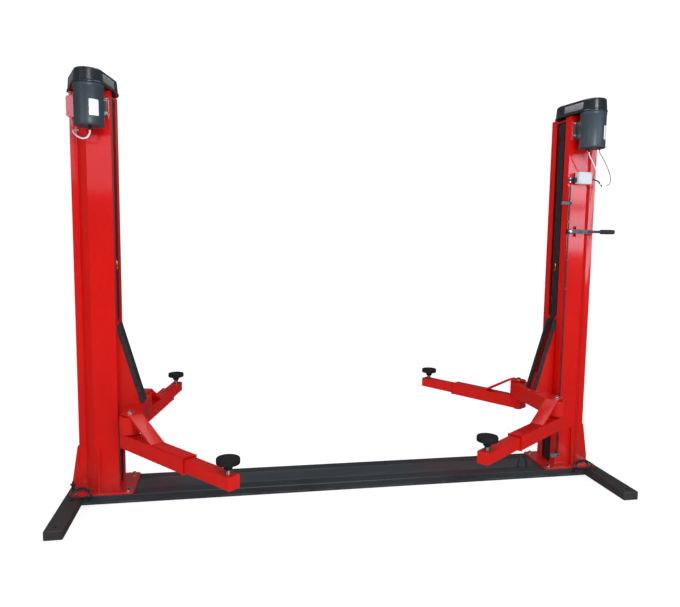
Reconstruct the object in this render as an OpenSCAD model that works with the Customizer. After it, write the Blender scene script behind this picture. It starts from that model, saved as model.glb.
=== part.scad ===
// Two-post car lift: floor frame, two folded columns, sliding carriages and
// four telescopic swing arms. X runs from column to column, -Y is the front,
// Z is up. Origin on the floor at the middle of the base.

/* [Floor frame] */
// Half of the overall length, to the outer side of the feet
half_len = 1760; // [1600:10:1900]
// Width of a foot tube
foot_w = 100; // [80:5:120]
// Reach of the feet in front of the column line
foot_front = 600; // [500:10:750]
// Reach of the feet behind the column line
foot_rear = 170; // [170:5:300]
// Height of the floor frame
base_h = 55; // [50:1:70]
// Half of the floor frame's depth
base_half = 170; // [165:1:200]
// Width of each long rail
rail_w = 90; // [70:1:100]
// Thickness of the column base plates
plate_t = 12; // [10:1:16]

/* [Columns] */
// Distance from the middle to a column's inner face
col_in = 1450; // [1350:5:1500]
// Depth of a column along the base
col_depth = 240; // [220:5:260]
// Half width of a column
col_half = 120; // [110:1:130]
// Height of the column tops
col_top = 2450; // [2200:10:2600]
// Sheet thickness of a column
sheet = 6; // [5:0.5:8]
// Half width of the slot
slot_half = 58; // [52:1:60]

/* [Carriages] */
// Distance from the middle to the arm pivots
piv_x = 1356; // [1345:1:1360]
// Distance of the arm pivots from the column line
piv_y = 266; // [255:1:280]
// Underside of the crossbar
bar_z0 = 470; // [465:1:480]
// Top of the crossbar
bar_z1 = 575; // [565:1:580]
// Top of the gusset plates
gus_z = 1108; // [1000:1:1200]

/* [Arms] */
// Length of an outer arm tube from its pivot
outer_l = 577; // [540:1:600]
// Width and height of an outer arm tube
outer_w = 86; // [84:1:90]
// Width and height of an inner arm tube
inner_w = 72; // [66:1:72]
// Length of an inner arm tube
inner_l = 735; // [700:1:760]
// Reach of the left front arm from its pivot to its tip
reach_lf = 938; // [800:1:1150]
// Reach of the right front arm
reach_rf = 955; // [800:1:1150]
// Reach of the left rear arm
reach_lr = 845; // [800:1:1150]
// Reach of the right rear arm
reach_rr = 890; // [800:1:1150]
// Swing of the left front arm from straight across
ang_lf = 50.7; // [10:0.1:85]
// Swing of the right front arm
ang_rf = 37.1; // [10:0.1:85]
// Swing of the left rear arm
ang_lr = 79.0; // [10:0.1:85]
// Swing of the right rear arm
ang_rr = 56.6; // [10:0.1:85]
// Radius of a rubber pad
pad_r = 60; // [50:1:70]

/* [Hidden] */
$fn = 48;
red = [0.83, 0.05, 0.03];
black = [0.06, 0.065, 0.07];
rubber = [0.04, 0.04, 0.045];
steel = [0.7, 0.7, 0.72];
motor_grey = [0.12, 0.14, 0.17];
plate_z = base_h + plate_t;
col_out = col_in + col_depth;
beam_z1 = 464;
beam_z0 = beam_z1 - outer_w;
inner_z1 = beam_z1 - 7;
inner_z0 = inner_z1 - inner_w;
pad_in = 45;
bar_in = 1296;
bar_out = 1416;
brace_z0 = bar_z1 + 5;
brace_z1 = brace_z0 + 10;
pin_r = 20;
bore_r = 20.05;
// routes of the leads, by hand
lead_r = [[1526, -225, 2203], [1532, -225, 2180], [1556, -224, 2142], [1582, -221, 2098], [1607, -215, 2055], [1630, -206, 2015], [1650, -190, 1992], [1663, -170, 1998], [1653, -154, 2020], [1634, -148, 2033], [1586, -147, 2038]];
wire_r = [[1606, -215, 2219], [1610, -215, 2203], [1632, -215, 2172], [1661, -214, 2128], [1688, -212, 2078], [1703, -209, 2034], [1699, -206, 2006], [1680, -204, 1993]];
lead_l = [[-1540, -240, 2203], [-1542, -239, 2186], [-1556, -230, 2167], [-1582, -210, 2162], [-1612, -180, 2172], [-1640, -148, 2192], [-1657, -122, 2214], [-1650, -94, 2226], [-1638, -70, 2230]];
loop_r = [[1574, -170, 32], [1568, -189, 40], [1558, -197, 64], [1566, -190, 92], [1596, -178, 108], [1638, -172, 110], [1676, -176, 98], [1697, -184, 80], [1690, -196, 66], [1660, -199, 62], [1620, -199, 62], [1586, -196, 68], [1578, -186, 84], [1600, -172, 96], [1640, -164, 98], [1672, -168, 88], [1684, -182, 70], [1684, -188, 55]];
loop_l = [[1620, -170, 32], [1610, -189, 42], [1598, -195, 66], [1600, -190, 92], [1620, -180, 110], [1660, -174, 114], [1698, -178, 104], [1718, -186, 84], [1712, -198, 68], [1686, -201, 64], [1650, -200, 64], [1622, -197, 70], [1614, -186, 84], [1630, -172, 98], [1662, -164, 101], [1690, -168, 92], [1702, -182, 74], [1700, -190, 55]];
hoop = [[1262, -85, 54], [1261, -85, 74], [1252, -85, 104], [1232, -85, 124], [1212, -86, 118], [1200, -87, 94], [1196, -87, 70], [1195, -87, 54]];

// The right side is drawn; the left side is its mirror image.
module side(s) { if (s > 0) children(); else mirror([1, 0, 0]) children(); }
module both() { side(1) children(); side(-1) children(); }
// Arm frame: +X runs along the arm from its pivot. f = -1 front, 1 rear.
module arm_at(s, f, ang) { side(s) translate([piv_x, f * piv_y, 0]) rotate(180 - f * ang) children(); }
module block(a, b) { translate(a) cube([b[0] - a[0], b[1] - a[1], b[2] - a[2]]); }

// ---- floor frame ----
module rail(y0) {
    x1 = half_len - foot_w;
    difference() {
        block([-x1, y0, 0], [x1, y0 + rail_w, base_h]);
        block([-x1 - 1, y0 + 4, 4], [x1 + 1, y0 + rail_w - 4, base_h - 4]);
    }
}
module base_rails() { color(black) { rail(-base_half); rail(base_half - rail_w); } }
module base_cover_plate() {
    y1 = base_half - rail_w - 1;
    color(black) block([-half_len + foot_w + 0.5, -y1, base_h - 6], [half_len - foot_w - 0.5, y1, base_h - 1]);
}
module base_cross_ties() {
    y1 = base_half - rail_w;
    color(black) for (x = [-1240, -620, 0, 620, 1240]) block([x - 30, -y1, 0], [x + 30, y1, base_h - 6]);
}
module foot(s) {
    x0 = half_len - foot_w;
    color(black) side(s) difference() {
        block([x0, -foot_front, 0], [half_len, foot_rear, base_h]);
        block([x0 + 5, -foot_front + 5, 5], [half_len - 5, foot_rear - 5, base_h - 5]);
        for (y = [-552, -212]) translate([half_len - 50, y, -1]) cylinder(r = 9, h = base_h + 2);
    }
}
module base_plate(s) {
    color(red) side(s) difference() {
        translate([0, 0, base_h]) linear_extrude(plate_t) union() {
            translate([1385, -165]) square([330, 330]);
            translate([1360, -140]) square([380, 280]);
            for (x = [1385, 1715], y = [-140, 140]) translate([x, y]) circle(r = 25);
        }
    }
}
bolt_xy = [[1398, -134], [1398, 134], [1704, -134], [1704, 134]];
module base_plate_bolts() {
    color(steel) both() for (p = bolt_xy) translate([p[0], p[1], plate_z]) {
        cylinder(r = 15, h = 3);
        cylinder(r = 11, h = 15, $fn = 6);
    }
}

// ---- columns ----
// Outline of the folded column: flat front and rear walls, a 45 degree
// joggle to a narrower outer web, and lips beside the slot.
function col_out_pts(d) = [
    [col_in + d, -col_half + d], [1588 - 0.41 * d, -col_half + d], [1650 - 0.41 * d, -58 + d], [col_out - d, -58 + d],
    [col_out - d, 58 - d], [1650 - 0.41 * d, 58 - d], [1588 - 0.41 * d, col_half - d], [col_in + d, col_half - d]];
module column(s) {
    color(red) side(s) {
        translate([0, 0, plate_z]) linear_extrude(col_top - plate_z) difference() {
            polygon(col_out_pts(0));
            polygon(col_out_pts(sheet));
            translate([col_in - 1, -slot_half]) square([sheet + 2, 2 * slot_half]);
        }
        // head plate inside the top
        translate([0, 0, col_top - 22]) linear_extrude(10) polygon(col_out_pts(sheet));
        // ribs on the front and rear faces
        for (m = [0, 1]) mirror([0, m, 0]) translate([1566, 0, 0]) rotate([0, -90, 0]) linear_extrude(8)
            polygon([[plate_z, -col_half], [plate_z, -col_half - 40], [plate_z + 40, -col_half - 40], [330, -col_half - 13], [337, -col_half]]);
        // fins on the outer web
        for (m = [0, 1]) mirror([0, m, 0]) translate([0, -44, 0]) rotate([90, 0, 0]) linear_extrude(8)
            polygon([[col_out, plate_z], [1738, plate_z], [1738, 100], [1703, 325], [1698, 337], [col_out, 337]]);
    }
}
screw_x = 1596;
module lift_screws() {
    color(steel) both() {
        translate([screw_x, 0, plate_z]) cylinder(r = 22.5, h = col_top - 22 - plate_z);
    }
}
module slot_belts() {
    color(rubber) both() block([1456, -37, plate_z], [1459, 37, col_top - 22]);
}

// ---- drive heads ----
mot = [1545, -225];
module motor(s) {
    color(motor_grey) side(s) translate([mot[0], mot[1], 0]) {
        translate([0, 0, 2225]) cylinder(r = 80, h = 215);
        translate([0, 0, 2225]) cylinder(r1 = 78, r2 = 82.5, h = 4);
        translate([0, 0, 2229]) cylinder(r = 82.5, h = 7);
        translate([0, 0, 2436]) cylinder(r = 81.5, h = 18);
        // feet that carry the motor on its mounting plate
        for (x = [-64, 44]) translate([x, 0, 2294]) cube([20, 97, 112]);
    }
}
module motor_mounts() {
    color(red) both() translate([0, -col_half, 0]) rotate([90, 0, 0]) linear_extrude(8)
        polygon([[1458, 2289], [1680, 2289], [1690, 2299], [1690, 2402], [1682, 2410], [1458, 2410]]);
}
module top_cover(s) {
    color(black) side(s) difference() {
        hull() {
            translate([mot[0], mot[1], col_top + 4]) cylinder(r = 84, h = 24, $fn = 32);
            translate([mot[0], mot[1], col_top + 4]) cylinder(r = 77, h = 73, $fn = 32);
            translate([mot[0], mot[1], col_top + 4]) cylinder(r = 69, h = 81, $fn = 32);
            translate([1566, 0, col_top]) cylinder(r = 144, h = 28, $fn = 40);
            translate([1566, 0, col_top]) cylinder(r = 137, h = 77, $fn = 40);
            translate([1566, 0, col_top]) cylinder(r = 129, h = 85, $fn = 40);
        }
        // rear lip of the column stays in view behind the cover
        block([1400, 116, col_top - 1], [1720, 160, col_top + 120]);
        block([1400, -400, col_top - 1], [1720, -col_half - 8, col_top + 4]);
    }
}

// ---- release gear on the right column ----
fr = -col_half;
// lever pivot, X and Z
lev = [1537, 1690];
rod_x = 1462;
module junction_box() {
    color([0.75, 0.76, 0.77]) {
        block([1494, fr - 62, 2004], [1586, fr - 8, 2080]);
        block([1500, fr - 8, 2010], [1580, fr, 2074]);
    }
}
module box_bracket() {
    color(black) {
        block([1451, fr - 6, 2008], [1498, fr, 2050]);
        block([1482, fr - 34, 2016], [1494, fr - 6, 2044]);
    }
    color(steel) for (z = [2017, 2041]) translate([1460, fr - 6, z]) rotate([90, 0, 0]) {
        cylinder(r = 6.5, h = 1.5);
        cylinder(r = 5, h = 6, $fn = 6);
    }
}
module rod_guides() {
    color(red) difference() {
        union() {
            for (z = [1300, 1500, 1754]) {
                block([1451, fr - 20, z - 5], [1486, fr, z + 5]);
            }
            // pivot bracket of the lever
            block([lev[0] - 22, fr - 20, lev[1] - 35], [lev[0] + 22, fr, lev[1] + 35]);
            // hook below the box
            translate([0, 0, 1984]) linear_extrude(7) polygon([[1602, fr - 15], [1628, fr - 15], [1628, -80.3], [1602, -106.3]]);
            block([1622, fr - 15, 1984], [1628, fr - 9, 2002]);
        }
        translate([rod_x, fr - 12, 1200]) cylinder(r = 4.55, h = 700);
    }
}
module release_rod() {
    color(black) {
        difference() {
            union() {
                translate([rod_x, fr - 12, 124]) cylinder(r = 4.5, h = 1868);
                // finger clamps, one for each latch
                block([1402, fr - 24, 1866], [1474, fr - 3, 1888]);
                block([1411, fr - 24, 130], [1474, fr - 3, 156]);
                // spring on the rod
                translate([rod_x, fr - 12, 155]) cylinder(r = 8.5, h = 130);
                // block that takes the lever's pin
                block([rod_x - 11, fr - 27, lev[1] - 16], [rod_x + 13, fr - 4, lev[1] + 16]);
            }
            block([rod_x - 6, fr - 28, lev[1] - 4.4], [rod_x + 8, fr - 18, lev[1] + 4.4]);
        }
    }
}
module release_lever() {
    color(steel) difference() {
        union() {
            translate([0, fr - 32, 0]) rotate([90, 0, 0]) linear_extrude(6) union() {
                translate([rod_x, lev[1] - 12]) square([1625 - rod_x, 24]);
                translate(lev) circle(r = 15);
                translate([rod_x, lev[1]]) circle(r = 12);
            }
            // round bar that carries the grip
            translate([1600, fr - 35, lev[1]]) rotate([0, 90, 0]) cylinder(r = 9, h = 120);
            translate([lev[0], fr - 20.5, lev[1]]) rotate([90, 0, 0]) cylinder(r = 12, h = 12);
            translate([lev[0], fr - 38, lev[1]]) rotate([90, 0, 0]) cylinder(r = 6, h = 5);
            translate([rod_x, fr - 38, lev[1]]) rotate([90, 0, 0]) cylinder(r = 8, h = 6, $fn = 6);
            // pin into the rod's block
            translate([rod_x, fr - 20, lev[1]]) rotate([90, 0, 0]) cylinder(r = 4, h = 13);
        }
    }
}
module lever_grip() {
    color(rubber) translate([1684, fr - 35, lev[1]]) rotate([0, 90, 0]) {
        difference() {
            cylinder(r = 16, h = 104);
            translate([0, 0, -1]) cylinder(r = 9.02, h = 37.2);
        }
    }
}

// ---- leads ----
function catmull(p, i, t) =
    let (n = len(p) - 1, a = p[max(i - 1, 0)], b = p[i], c = p[min(i + 1, n)], d = p[min(i + 2, n)])
    0.5 * (2 * b + (c - a) * t + (2 * a - 5 * b + 4 * c - d) * t * t + (3 * b - a - 3 * c + d) * t * t * t);
function route(p, k) = concat([for (i = [0 : len(p) - 2], j = [0 : k - 1]) catmull(p, i, j / k)], [p[len(p) - 1]]);
function unit(v) = v / norm(v);
function dirs(q) = [for (i = [0 : len(q) - 1]) unit(q[min(i + 1, len(q) - 1)] - q[max(i - 1, 0)])];
function carry(u, t) = unit(u - (u * t) * t);
// one normal for each ring, carried along the route without twisting
function normals(ts) = [for (i = 0, u = carry(abs(ts[0][2]) < 0.9 ? [0, 0, 1] : [1, 0, 0], ts[0]); i < len(ts); i = i + 1, u = i < len(ts) ? carry(u, ts[i]) : u) u];
module lead(p, r, k, n = 8) {
    q = route(p, k);
    ts = dirs(q);
    us = normals(ts);
    m = len(q);
    pts = [for (i = [0 : m - 1], j = [0 : n - 1]) q[i] + r * (cos(360 * j / n) * us[i] + sin(360 * j / n) * cross(ts[i], us[i]))];
    polyhedron(points = pts, faces = concat(
        [[for (j = [0 : n - 1]) j]],
        [for (i = [0 : m - 2], j = [0 : n - 1]) [i * n + j, (i + 1) * n + j, (i + 1) * n + (j + 1) % n, i * n + (j + 1) % n]],
        [[for (j = [n - 1 : -1 : 0]) (m - 1) * n + j]]), convexity = 6);
}
module right_motor_lead() { color([0.9, 0.9, 0.92]) lead(lead_r, 3.5, 2); }
module right_motor_wire() { color([0.35, 0.25, 0.2]) lead(wire_r, 2.25, 2); }
module left_motor_lead() { color([0.9, 0.9, 0.92]) lead(lead_l, 4.5, 1); }
module left_cable_loop() { color(black) side(-1) lead(loop_l, 5, 1); }
module right_cable_loop() { color(black) lead(loop_r, 5, 1); }
module base_cable_hoop() { color(black) lead(hoop, 4, 2); }
// glands under the motors, and the small plug that stands on the left base plate
module cable_fittings() {
    color(black) {
        for (g = [[1526, -225], [-1540, -240]]) translate([g[0], g[1], 0]) {
            translate([0, 0, 2213]) cylinder(r = 11, h = 12);
            translate([0, 0, 2203]) cylinder(r1 = 7, r2 = 9, h = 10);
        }
        translate([1606, -215, 2219]) cylinder(r = 5, h = 6);
        translate([-1725, -92, plate_z]) {
            cylinder(r = 10, h = 36);
            translate([-16, -7, 34]) cube([32, 14, 9]);
            translate([0, 0, 43]) cylinder(r = 7, h = 15);
        }
    }
}

// ---- carriages ----
gus_in = bar_in + 4;
// the crossbar seen from above, with ends round about the arm pivots
module bar_outline(d) {
    translate([bar_in + d, -piv_y]) square([bar_out - bar_in - 2 * d, 2 * piv_y]);
    for (f = [-1, 1]) translate([piv_x, f * piv_y]) circle(r = (bar_out - bar_in) / 2 - d);
}
module carriage(s) {
    color(red) side(s) difference() {
        union() {
            // crossbar, a closed box with access openings underneath
            difference() {
                translate([0, 0, bar_z0]) linear_extrude(bar_z1 - bar_z0) bar_outline(0);
                translate([0, 0, bar_z0 + 8]) linear_extrude(bar_z1 - bar_z0 - 16) bar_outline(8);
                for (y = [-190, 100]) block([bar_in + 28, y, bar_z0 - 1], [bar_out - 28, y + 90, bar_z0 + 9]);
            }
            for (f = [-1, 1]) translate([piv_x, f * piv_y, bar_z0 - 5.5]) cylinder(r = 33, h = bar_z1 - bar_z0 + 10);
            // gusset plates that pass through the slot
            for (f = [-1, 1]) translate([0, f * 46 + 3, 0]) rotate([90, 0, 0]) linear_extrude(6)
                polygon([[bar_out - 1, bar_z0], [1500, bar_z0], [1500, gus_z], [col_in, gus_z], [gus_in, bar_z1], [bar_out - 1, bar_z1]]);
            // slider inside the column
            block([1466, -108, bar_z0], [1478, 108, gus_z]);
            for (f = [-1, 1]) translate([0, f < 0 ? -108 : 98, 0]) block([1478, 0, bar_z0], [1560, 10, gus_z]);
            block([1478, -60, 760], [1636, 60, 820]);
            // sloping panel between the gussets
            translate([0, 43, 0]) rotate([90, 0, 0]) linear_extrude(86)
                polygon([[gus_in + 25, bar_z1 - 1], [gus_in + 32, bar_z1 - 1], [gus_in + 68, 700], [gus_in + 61, 700]]);
        }
        for (f = [-1, 1]) translate([piv_x, f * piv_y, bar_z0 - 50]) cylinder(r = bore_r, h = 250);
        translate([screw_x, 0, 700]) cylinder(r = 24.5, h = 200);
    }
}
// rubber edging along the sloping edges of the gussets
edge_a = atan2(gus_z - bar_z1, col_in - gus_in);
edge_l = norm([gus_z - bar_z1, col_in - gus_in]);
module edge_rubbers(s) {
    color(rubber) side(s) for (f = [-1, 1]) translate([gus_in, f * 46, bar_z1]) rotate([0, -edge_a, 0]) difference() {
        block([14, -6, -22], [edge_l - 24, 6, 5]);
        block([0, -3, -40], [edge_l + 20, 3, 0]);
    }
}
module arm_pins(s) {
    color(steel) side(s) for (f = [-1, 1]) translate([piv_x, f * piv_y, 0]) {
        translate([0, 0, beam_z0 - 9]) cylinder(r = pin_r, h = brace_z1 + 0.5 - beam_z0 + 9);
        translate([0, 0, beam_z0 - 9]) cylinder(r = 28, h = 8.5);
        translate([0, 0, brace_z1 + 0.5]) cylinder(r = 25, h = 4);
        translate([0, 0, brace_z1 + 4.5]) cylinder(r = 15, h = 10, $fn = 6);
    }
}

// ---- arms ----
module arm_outer() {
    color(red) difference() {
        union() {
            difference() {
                union() {
                    block([-42, -outer_w / 2, beam_z0], [outer_l - 6, outer_w / 2, beam_z1]);
                    block([outer_l - 6, -outer_w / 2 - 3, beam_z0 - 3], [outer_l, outer_w / 2 + 3, beam_z1 + 3]);
                }
                block([-36, -outer_w / 2 + 5, beam_z0 + 5], [outer_l + 1, outer_w / 2 - 5, beam_z1 - 5]);
            }
            // doubler on the tube's top
            block([284, -37, beam_z1], [outer_l - 6, 37, beam_z1 + 5]);
            // brace over the crossbar
            intersection() {
                translate([0, 41, 0]) rotate([90, 0, 0]) linear_extrude(82)
                    polygon([[-48, brace_z0], [-48, brace_z1], [68, brace_z1], [284, beam_z1 + 5], [284, beam_z1], [264, beam_z1], [63, brace_z0]]);
                translate([0, 0, beam_z1 - 1]) linear_extrude(160)
                    polygon([[-48, -20], [-26, -41], [285, -41], [285, 41], [-26, 41], [-48, 20]]);
            }
        }
        translate([0, 0, beam_z0 - 10]) cylinder(r = bore_r, h = 260);
    }
}
module arm_inner(e) {
    ps = e - pad_in;
    color(red) difference() {
        block([e - inner_l, -inner_w / 2, inner_z0], [e, inner_w / 2, inner_z1]);
        difference() {
            block([e - inner_l - 1, -inner_w / 2 + 5, inner_z0 + 5], [e - 5, inner_w / 2 - 5, inner_z1 - 5]);
            translate([ps, 0, inner_z0]) cylinder(r = 26, h = inner_w);
        }
        translate([ps, 0, inner_z0 - 1]) cylinder(r = 15.05, h = inner_w + 2);
    }
}
pad_z = inner_z1 + 46;
module pad_screw(e) {
    color(steel) translate([e - pad_in, 0, inner_z0]) cylinder(r = 15, h = pad_z - inner_z0);
}
module pad(e) {
    color(rubber) translate([e - pad_in, 0, pad_z]) rotate_extrude($fn = 64)
        polygon([[0, 0], [15, 0], [15, -21], [20, -23], [23, -19], [27, 0], [40, 3], [55, 3.5], [59, 6], [pad_r, 11],
            [pad_r, 29], [58.5, 33], [54, 35], [47, 35], [44, 32], [0, 32]]);
}

base_rails();
base_cover_plate();
base_cross_ties();
foot(-1);  // left_foot
foot(1);  // right_foot
base_plate(-1);  // left_base_plate
base_plate(1);  // right_base_plate
base_plate_bolts();
column(-1);  // left_column
column(1);  // right_column
lift_screws();
slot_belts();
motor(-1);  // left_motor
motor(1);  // right_motor
motor_mounts();
top_cover(-1);  // left_top_cover
top_cover(1);  // right_top_cover
junction_box();
box_bracket();
rod_guides();
cable_fittings();
left_motor_lead();
right_motor_lead();
right_motor_wire();
left_cable_loop();
right_cable_loop();
base_cable_hoop();
release_rod();
release_lever();
lever_grip();
carriage(-1);  // left_carriage
carriage(1);  // right_carriage
edge_rubbers(-1);  // left_edge_rubbers
edge_rubbers(1);  // right_edge_rubbers
arm_pins(-1);  // left_arm_pins
arm_pins(1);  // right_arm_pins
arm_at(-1, -1, ang_lf) arm_outer();  // left_front_arm_outer
arm_at(-1, -1, ang_lf) arm_inner(reach_lf);  // left_front_arm_inner
arm_at(-1, -1, ang_lf) pad_screw(reach_lf);  // left_front_pad_screw
arm_at(-1, -1, ang_lf) pad(reach_lf);  // left_front_pad
arm_at(-1, 1, ang_lr) arm_outer();  // left_rear_arm_outer
arm_at(-1, 1, ang_lr) arm_inner(reach_lr);  // left_rear_arm_inner
arm_at(-1, 1, ang_lr) pad_screw(reach_lr);  // left_rear_pad_screw
arm_at(-1, 1, ang_lr) pad(reach_lr);  // left_rear_pad
arm_at(1, -1, ang_rf) arm_outer();  // right_front_arm_outer
arm_at(1, -1, ang_rf) arm_inner(reach_rf);  // right_front_arm_inner
arm_at(1, -1, ang_rf) pad_screw(reach_rf);  // right_front_pad_screw
arm_at(1, -1, ang_rf) pad(reach_rf);  // right_front_pad
arm_at(1, 1, ang_rr) arm_outer();  // right_rear_arm_outer
arm_at(1, 1, ang_rr) arm_inner(reach_rr);  // right_rear_arm_inner
arm_at(1, 1, ang_rr) pad_screw(reach_rr);  // right_rear_pad_screw
arm_at(1, 1, ang_rr) pad(reach_rr);  // right_rear_pad
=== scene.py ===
import bpy, bmesh, math, random
from mathutils.bvhtree import BVHTree
from mathutils import Vector, Matrix, noise


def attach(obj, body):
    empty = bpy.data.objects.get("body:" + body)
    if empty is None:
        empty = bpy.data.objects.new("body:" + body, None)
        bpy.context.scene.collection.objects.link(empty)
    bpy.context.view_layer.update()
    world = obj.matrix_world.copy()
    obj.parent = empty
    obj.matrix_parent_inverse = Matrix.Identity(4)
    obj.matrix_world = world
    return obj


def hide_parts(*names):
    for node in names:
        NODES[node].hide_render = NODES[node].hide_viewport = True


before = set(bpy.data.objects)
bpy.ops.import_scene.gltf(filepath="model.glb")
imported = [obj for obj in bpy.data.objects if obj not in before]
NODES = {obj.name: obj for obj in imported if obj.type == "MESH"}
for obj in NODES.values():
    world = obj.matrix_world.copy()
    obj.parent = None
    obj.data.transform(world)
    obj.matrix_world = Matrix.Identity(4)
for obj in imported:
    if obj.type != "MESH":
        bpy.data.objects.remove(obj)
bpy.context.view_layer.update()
SC = bpy.context.scene
random.seed(4)

# ------------------------------------------------------------------ camera
cam_data = bpy.data.cameras.new("camera")
cam = bpy.data.objects.new("camera", cam_data)
SC.collection.objects.link(cam)
SC.camera = cam
yaw, pitch, roll = 0.181, 0.101, 0.013
fwd = Vector((math.sin(yaw) * math.cos(pitch), math.cos(yaw) * math.cos(pitch), -math.sin(pitch)))
right = Vector((math.cos(yaw), -math.sin(yaw), 0))
up = right.cross(fwd)
r2 = right * math.cos(roll) + up * math.sin(roll)
u2 = -right * math.sin(roll) + up * math.cos(roll)
m = Matrix((r2, u2, -fwd)).transposed().to_4x4()
m.translation = Vector((-0.782, -3.916, 1.602))
cam.matrix_world = m
cam_data.sensor_width = 36
cam_data.lens = 36 * 609.9 / 680
cam_data.clip_end = 60


# --------------------------------------------------------------- materials
def new_mat(name):
    mt = bpy.data.materials.new(name)
    mt.use_nodes = True
    nt = mt.node_tree
    bsdf = nt.nodes["Principled BSDF"]
    co = nt.nodes.new("ShaderNodeTexCoord")
    return mt, nt, bsdf, co


def tex(nt, co, scale, detail=3, rough=0.55, stretch=None, dist=0.0):
    mp = nt.nodes.new("ShaderNodeMapping")
    nt.links.new(co.outputs["Object"], mp.inputs["Vector"])
    if stretch:
        mp.inputs["Scale"].default_value = stretch
    n = nt.nodes.new("ShaderNodeTexNoise")
    n.inputs["Scale"].default_value = scale
    n.inputs["Detail"].default_value = detail
    n.inputs["Roughness"].default_value = rough
    n.inputs["Distortion"].default_value = dist
    nt.links.new(mp.outputs["Vector"], n.inputs["Vector"])
    return n


def ramp(nt, src, stops):
    r = nt.nodes.new("ShaderNodeValToRGB")
    el = r.color_ramp.elements
    while len(el) < len(stops):
        el.new(0.5)
    for e, (p, c) in zip(el, stops):
        e.position = p
        e.color = c if len(c) == 4 else (*c, 1)
    nt.links.new(src, r.inputs["Fac"])
    return r


def g(v):
    return (v, v, v, 1)


def mix(nt, a, b, fac, mode="MIX"):
    x = nt.nodes.new("ShaderNodeMix")
    x.data_type = "RGBA"
    x.blend_type = mode
    if isinstance(fac, float):
        x.inputs[0].default_value = fac
    else:
        nt.links.new(fac, x.inputs[0])
    for i, s in ((6, a), (7, b)):
        if isinstance(s, tuple):
            x.inputs[i].default_value = s if len(s) == 4 else (*s, 1)
        else:
            nt.links.new(s, x.inputs[i])
    return x.outputs[2]


def bump(nt, bsdf, srcs):
    """srcs: list of (height socket, strength, distance)."""
    prev = None
    for h, s, d in srcs:
        b = nt.nodes.new("ShaderNodeBump")
        b.inputs["Strength"].default_value = s
        b.inputs["Distance"].default_value = d
        nt.links.new(h, b.inputs["Height"])
        if prev:
            nt.links.new(prev, b.inputs["Normal"])
        prev = b.outputs["Normal"]
    nt.links.new(prev, bsdf.inputs["Normal"])


def paint(name, c_dark, c_light, rough=(0.24, 0.34), coat=0.35, coat_r=0.12, peel=0.12, grime=0.0, spec=0.5, painted_floor_glint=False, wave=0.12, wscale=46):
    mt, nt, bs, co = new_mat(name)
    big = tex(nt, co, 2.3, 4, 0.6)
    fine = tex(nt, co, 38, 5, 0.6)
    col = ramp(nt, big.outputs["Fac"], [(0.3, c_dark), (0.7, c_light)]).outputs["Color"]
    sp = ramp(nt, fine.outputs["Fac"], [(0.28, g(0.955)), (0.6, g(1.0))]).outputs["Color"]
    col = mix(nt, col, sp, 1.0, "MULTIPLY")
    if painted_floor_glint:
        # painted highlight: a light line low on the long rails' front face, standing in for the floor's reflection
        # along the bottom edge, broken up by noise
        sx = nt.nodes.new("ShaderNodeSeparateXYZ")
        nt.links.new(co.outputs["Object"], sx.inputs[0])
        zr = ramp(nt, sx.outputs["Z"], [(0.0085, g(0.0)), (0.0105, g(1.0)), (0.0150, g(1.0)), (0.0175, g(0.0))])
        yr = nt.nodes.new("ShaderNodeMath")
        yr.operation = "LESS_THAN"
        nt.links.new(sx.outputs["Y"], yr.inputs[0])
        yr.inputs[1].default_value = -0.166
        glint_breakup = tex(nt, co, 30, 6, 0.75, stretch=(0.25, 1, 1))
        wr = ramp(nt, glint_breakup.outputs["Fac"], [(0.42, g(0.0)), (0.66, g(0.55))])
        m1 = nt.nodes.new("ShaderNodeMath")
        m1.operation = "MULTIPLY"
        nt.links.new(zr.outputs["Color"], m1.inputs[0])
        nt.links.new(yr.outputs[0], m1.inputs[1])
        m2 = nt.nodes.new("ShaderNodeMath")
        m2.operation = "MULTIPLY"
        nt.links.new(m1.outputs[0], m2.inputs[0])
        nt.links.new(wr.outputs["Color"], m2.inputs[1])
        col = mix(nt, col, (0.15, 0.16, 0.16, 1), m2.outputs[0])
    if grime:
        sep = nt.nodes.new("ShaderNodeSeparateXYZ")
        nt.links.new(co.outputs["Object"], sep.inputs[0])
        low = nt.nodes.new("ShaderNodeMapRange")
        low.inputs["From Min"].default_value = 0.05
        low.inputs["From Max"].default_value = 0.28
        low.inputs["To Min"].default_value = grime
        low.inputs["To Max"].default_value = 0.0
        nt.links.new(sep.outputs["Z"], low.inputs["Value"])
        dn = tex(nt, co, 14, 6, 0.7)
        dm = nt.nodes.new("ShaderNodeMath")
        dm.operation = "MULTIPLY"
        nt.links.new(low.outputs[0], dm.inputs[0])
        nt.links.new(dn.outputs["Fac"], dm.inputs[1])
        col = mix(nt, col, (0.16, 0.13, 0.11, 1), dm.outputs[0])
    nt.links.new(col, bs.inputs["Base Color"])
    rr = ramp(nt, fine.outputs["Fac"], [(0.3, g(rough[0])), (0.75, g(rough[1]))])
    nt.links.new(rr.outputs["Color"], bs.inputs["Roughness"])
    bs.inputs["Coat Weight"].default_value = coat
    bs.inputs["Coat Roughness"].default_value = coat_r
    bs.inputs["Specular IOR Level"].default_value = spec
    op = tex(nt, co, 120, 2, 0.5)
    wav = tex(nt, co, wscale, 2, 0.5)
    bump(nt, bs, [(op.outputs["Fac"], peel, 0.0010), (wav.outputs["Fac"], wave, 0.0024)])
    return mt


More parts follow.
